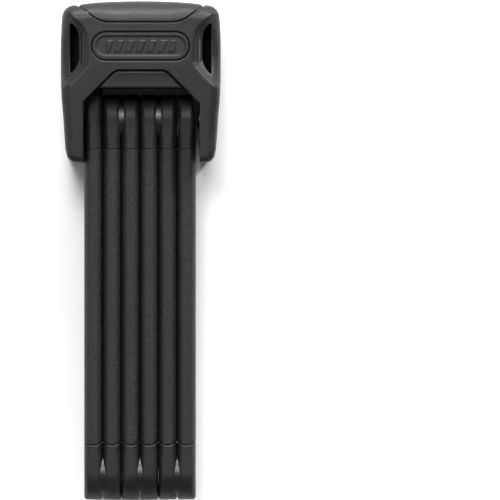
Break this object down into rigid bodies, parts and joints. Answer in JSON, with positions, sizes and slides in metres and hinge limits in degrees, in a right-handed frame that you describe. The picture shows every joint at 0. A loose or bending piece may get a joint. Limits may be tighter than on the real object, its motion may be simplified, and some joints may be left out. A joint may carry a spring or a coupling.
{
  "type": "folding bike lock",
  "caption": "Folding bike lock: sheathed steel links riveted end to end, folded side by side into the jaw of a key-operated lock body.",
  "frame": {"origin": "middle of the folded lock in X and Y, on the plane of the body's flat back", "axes": "+X across the stack of links towards the leg with the locking pin, +Y along the folded links towards the domed top with the keyhole, +Z out of the body's front"},
  "size_m": [0.0652, 0.2036, 0.04],
  "materials": {
    "shell": "satin",
    "panel": "fine grain",
    "sleeve": "matte, lengthways grain",
    "end_cap": "matte",
    "steel": "brushed",
    "brass": "turned",
    "die_cast": "blackened die casting"
  },
  "bodies": {
    "housing": {"lock_case": "die_cast", "guard_plate": "steel", "front_shell": "shell", "rear_shell": "shell", "top_cap": "shell", "front_arch_panel": "panel", "rear_arch_panel": "panel", "front_badge": "panel", "rear_badge": "panel", "shell_screws": "steel", "cylinder_housing": "brass", "cylinder_retaining_pin": "steel", "body_rivet": "steel", "body_washer": "steel", "pin_bush": "brass", "rocker_axle": "steel"},
    "key_plug": {"cylinder_plug": "brass", "detainer_discs": "brass", "drive_cam": "steel"},
    "slider": {"drive_slider": "steel"},
    "rocker": {"rocker_lever": "steel"},
    "bolt": {"locking_pin": "steel"},
    "cover": {"keyhole_cover": "panel"},
    "link_1": {"link_1_core": "steel", "link_1_sleeve": "sleeve", "link_1_end_caps": "end_cap", "rivet_1_2": "steel", "washer_1_2": "steel"},
    "link_2": {"link_2_core": "steel", "link_2_sleeve": "sleeve", "link_2_end_caps": "end_cap", "rivet_2_3": "steel", "washer_2_3": "steel"},
    "link_3": {"link_3_core": "steel", "link_3_sleeve": "sleeve", "link_3_end_caps": "end_cap", "rivet_3_4": "steel", "washer_3_4": "steel"},
    "link_4": {"link_4_core": "steel", "link_4_sleeve": "sleeve", "link_4_end_caps": "end_cap", "rivet_4_5": "steel", "washer_4_5": "steel"},
    "link_5": {"link_5_core": "steel", "link_5_sleeve": "sleeve", "link_5_end_caps": "end_cap", "rivet_5_6": "steel", "washer_5_6": "steel"},
    "link_6": {"link_6_core": "steel", "link_6_sleeve": "sleeve", "link_6_end_caps": "end_cap", "link_6_eye_bush": "steel"}
  },
  "joints": [
    {"name": "link_1_swing", "type": "hinge", "parent": "housing", "child": "link_1", "pos_m": [0, 0.0614, 0.02], "axis": [-1, 0, 0], "range_deg": [-55, 55]},
    {"name": "link_2_fold", "type": "hinge", "parent": "link_1", "child": "link_2", "pos_m": [0, -0.0916, 0.02], "axis": [1, 0, 0], "range_deg": [-180, 180]},
    {"name": "link_3_fold", "type": "hinge", "parent": "link_2", "child": "link_3", "pos_m": [0, 0.0534, 0.02], "axis": [-1, 0, 0], "range_deg": [-85, 85]},
    {"name": "link_4_fold", "type": "hinge", "parent": "link_3", "child": "link_4", "pos_m": [0, -0.0916, 0.02], "axis": [1, 0, 0], "range_deg": [-180, 180]},
    {"name": "link_5_fold", "type": "hinge", "parent": "link_4", "child": "link_5", "pos_m": [0, 0.0534, 0.02], "axis": [-1, 0, 0], "range_deg": [-85, 85]},
    {"name": "link_6_fold", "type": "hinge", "parent": "link_5", "child": "link_6", "pos_m": [0, -0.0916, 0.02], "axis": [1, 0, 0], "range_deg": [-180, 180]},
    {"name": "key_turn", "type": "hinge", "parent": "housing", "child": "key_plug", "pos_m": [0, 0.086, 0.02], "axis": [0, 1, 0], "range_deg": [0, 90]},
    {"name": "slider_travel", "type": "slide", "parent": "housing", "child": "slider", "axis": [1, 0, 0], "range_m": [0, 0.00307]},
    {"name": "rocker_tilt", "type": "hinge", "parent": "housing", "child": "rocker", "pos_m": [0.02705, 0.0624, 0.02], "axis": [0, 0, -1], "range_deg": [0, 25.68]},
    {"name": "bolt_travel", "type": "slide", "parent": "housing", "child": "bolt", "axis": [-1, 0, 0], "range_m": [0, 0.004]},
    {"name": "cover_slide", "type": "slide", "parent": "housing", "child": "cover", "axis": [1, 0, 0], "range_m": [0, 0.009]}
  ],
  "couplings": [
    {"joint": "key_turn", "follows": "bolt_travel", "rad_per_m": 392.7},
    {"joint": "slider_travel", "follows": "bolt_travel", "ratio": 0.76666},
    {"joint": "rocker_tilt", "follows": "bolt_travel", "rad_per_m": 112.05}
  ]
}
